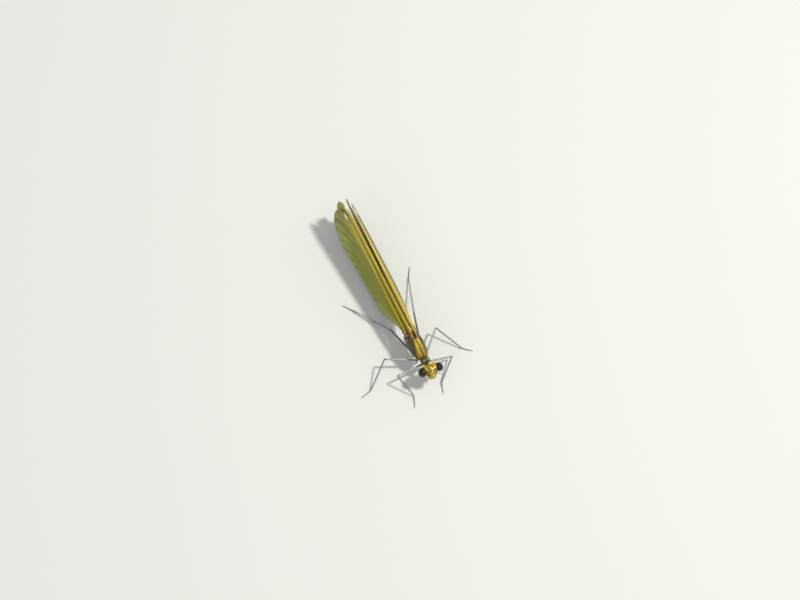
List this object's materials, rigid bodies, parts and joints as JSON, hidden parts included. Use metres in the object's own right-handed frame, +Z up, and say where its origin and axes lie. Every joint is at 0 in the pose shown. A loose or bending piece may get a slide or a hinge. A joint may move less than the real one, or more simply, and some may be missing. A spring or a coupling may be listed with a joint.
{
  "type": "damselfly",
  "caption": "Resting damselfly with slender segmented body, folded veined wings and jointed legs, as a still life-size display model.",
  "frame": {"origin": "middle of the box that the model fills, at the level its feet rest on", "axes": "+X towards the head, +Y to the insect's left, +Z up from the feet"},
  "size_m": [0.05, 0.028, 0.0135],
  "materials": {
    "head_gold": "satin",
    "eye_brown": "gloss",
    "mouth_yellow": "satin",
    "thorax_bronze": "satin",
    "abdomen_bronze": "satin",
    "wing_olive": "satin",
    "leg_grey": "satin",
    "antenna_black": "satin"
  },
  "bodies": {
    "root": {"head": "head_gold", "labrum": "mouth_yellow", "labium": "mouth_yellow", "eye_left": "eye_brown", "antenna_left": "antenna_black", "eye_right": "eye_brown", "antenna_right": "antenna_black", "prothorax": "thorax_bronze", "thorax": "thorax_bronze", "abdomen_01": "abdomen_bronze", "abdomen_02": "abdomen_bronze", "abdomen_03": "abdomen_bronze", "abdomen_04": "abdomen_bronze", "abdomen_05": "abdomen_bronze", "abdomen_06": "abdomen_bronze", "abdomen_07": "abdomen_bronze", "abdomen_08": "abdomen_bronze", "abdomen_09": "abdomen_bronze", "abdomen_10": "abdomen_bronze", "ovipositor": "abdomen_bronze", "forewing_left": "wing_olive", "forewing_right": "wing_olive", "hindwing_left": "wing_olive", "hindwing_right": "wing_olive", "coxa_front_left": "leg_grey", "femur_front_left": "leg_grey", "tibia_front_left": "leg_grey", "tarsus_front_left": "leg_grey", "coxa_front_right": "leg_grey", "femur_front_right": "leg_grey", "tibia_front_right": "leg_grey", "tarsus_front_right": "leg_grey", "coxa_middle_left": "leg_grey", "femur_middle_left": "leg_grey", "tibia_middle_left": "leg_grey", "tarsus_middle_left": "leg_grey", "coxa_middle_right": "leg_grey", "femur_middle_right": "leg_grey", "tibia_middle_right": "leg_grey", "tarsus_middle_right": "leg_grey", "coxa_hind_left": "leg_grey", "femur_hind_left": "leg_grey", "tibia_hind_left": "leg_grey", "tarsus_hind_left": "leg_grey", "coxa_hind_right": "leg_grey", "femur_hind_right": "leg_grey", "tibia_hind_right": "leg_grey", "tarsus_hind_right": "leg_grey"}
  },
  "joints": []
}
